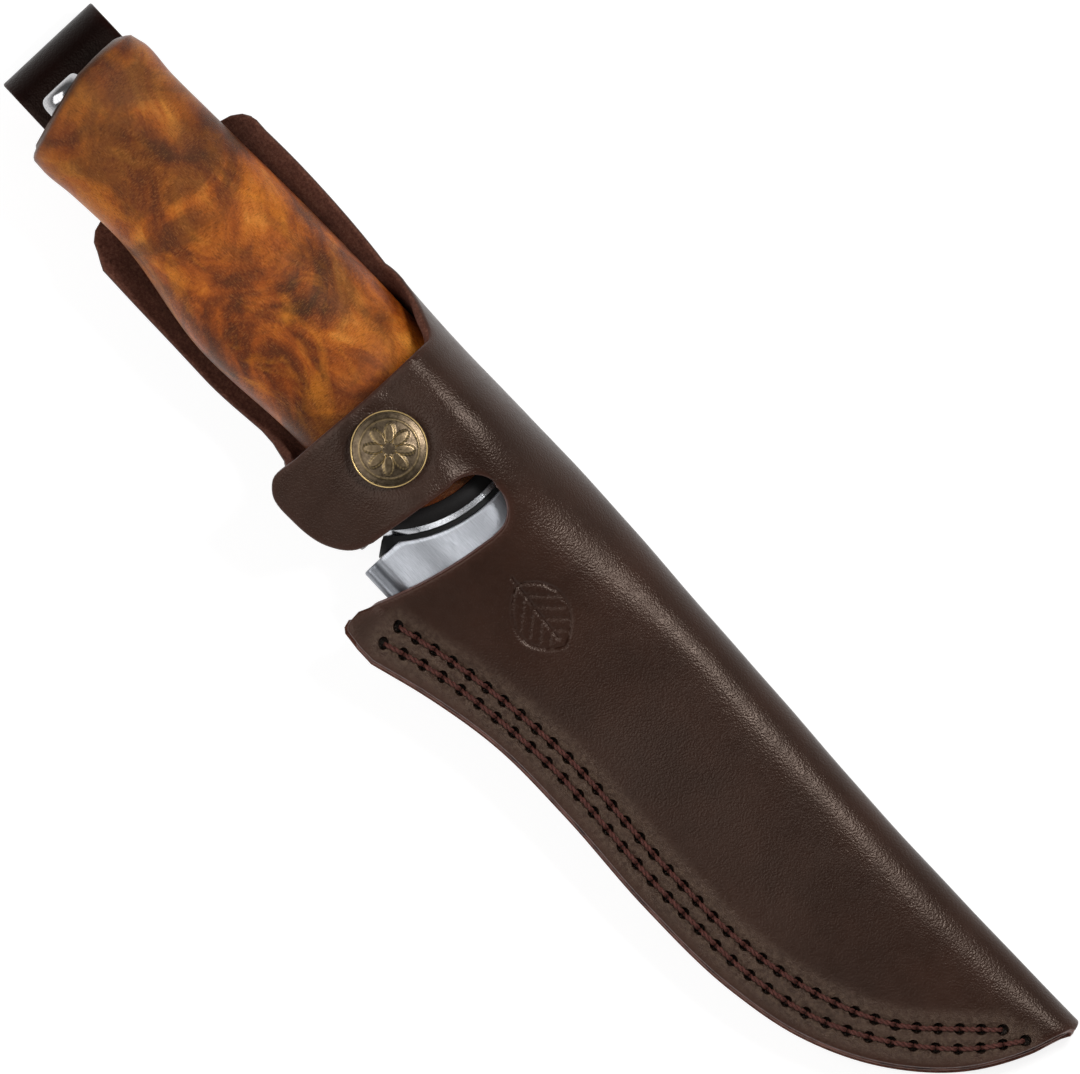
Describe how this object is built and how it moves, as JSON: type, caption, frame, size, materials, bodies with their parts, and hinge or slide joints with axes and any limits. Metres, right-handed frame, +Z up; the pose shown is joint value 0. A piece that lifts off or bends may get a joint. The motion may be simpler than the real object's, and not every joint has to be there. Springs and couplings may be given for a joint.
{
  "type": "sheathed whittling knife",
  "caption": "Hunting and whittling knife with a curly birch handle and steel finger guard, carried in a folded brown leather sheath with a double-stitched edge, a snap strap and a belt loop.",
  "frame": {"origin": "middle of the base of the sheathed knife as it lies on its back, on the surface that it lies on", "axes": "+X from the pommel to the sheath's tip, +Y to the sheath's folded side, +Z up out of the front with the snap. The knife's own axis leans 5.2 degrees down towards the tip, because the belt loop lifts the pommel end."},
  "size_m": [0.2972, 0.0604, 0.0451],
  "materials": {
    "leather_grain": "dark brown, smooth waxed grain, rough suede on the flesh side",
    "leather_dark": "near black brown, smooth grain",
    "leather_edge": "burnished cut edge",
    "thread": "waxed reddish brown twisted thread",
    "wood": "stained curly birch, oiled to a satin sheen",
    "spacer_leather": "black, polished edge",
    "spacer_fibre": "black vulcanised fibre",
    "spacer_metal": "polished edge",
    "guard_steel": "satin, brushed across the knife",
    "blade_steel": "satin flats over a polished bevel, with a lamination line",
    "snap_brass": "antiqued, dark in the middle and worn bright at the rim"
  },
  "bodies": {
    "sheath": {"sheath_leather": "leather_grain", "welt": "leather_edge", "seam_thread_inner_front": "thread", "seam_thread_inner_back": "thread", "seam_thread_outer_front": "thread", "seam_thread_outer_back": "thread", "belt_loop": "leather_dark", "loop_thread": "thread", "closing_tab": "leather_grain", "snap_stud": "snap_brass", "snap_post": "snap_brass"},
    "strap": {"retention_strap": "leather_grain", "snap_cap": "snap_brass", "snap_socket": "snap_brass"},
    "knife": {"blade": "blade_steel", "guard": "guard_steel", "guard_spacer_black": "spacer_fibre", "spacer_bright": "spacer_metal", "spacer_leather": "spacer_leather", "handle": "wood", "tang_washer": "guard_steel"}
  },
  "joints": [
    {"name": "knife_draw", "type": "slide", "parent": "sheath", "child": "knife", "axis": [-0.9959, 0, 0.0906], "range_m": [0, 0.18], "deforming": ["closing_tab"]},
    {"name": "strap_hinge", "type": "hinge", "parent": "sheath", "child": "strap", "pos_m": [-0.0453, 0.01617, 0.04267], "axis": [-0.9959, 0, 0.0906], "range_deg": [0, 115]}
  ]
}
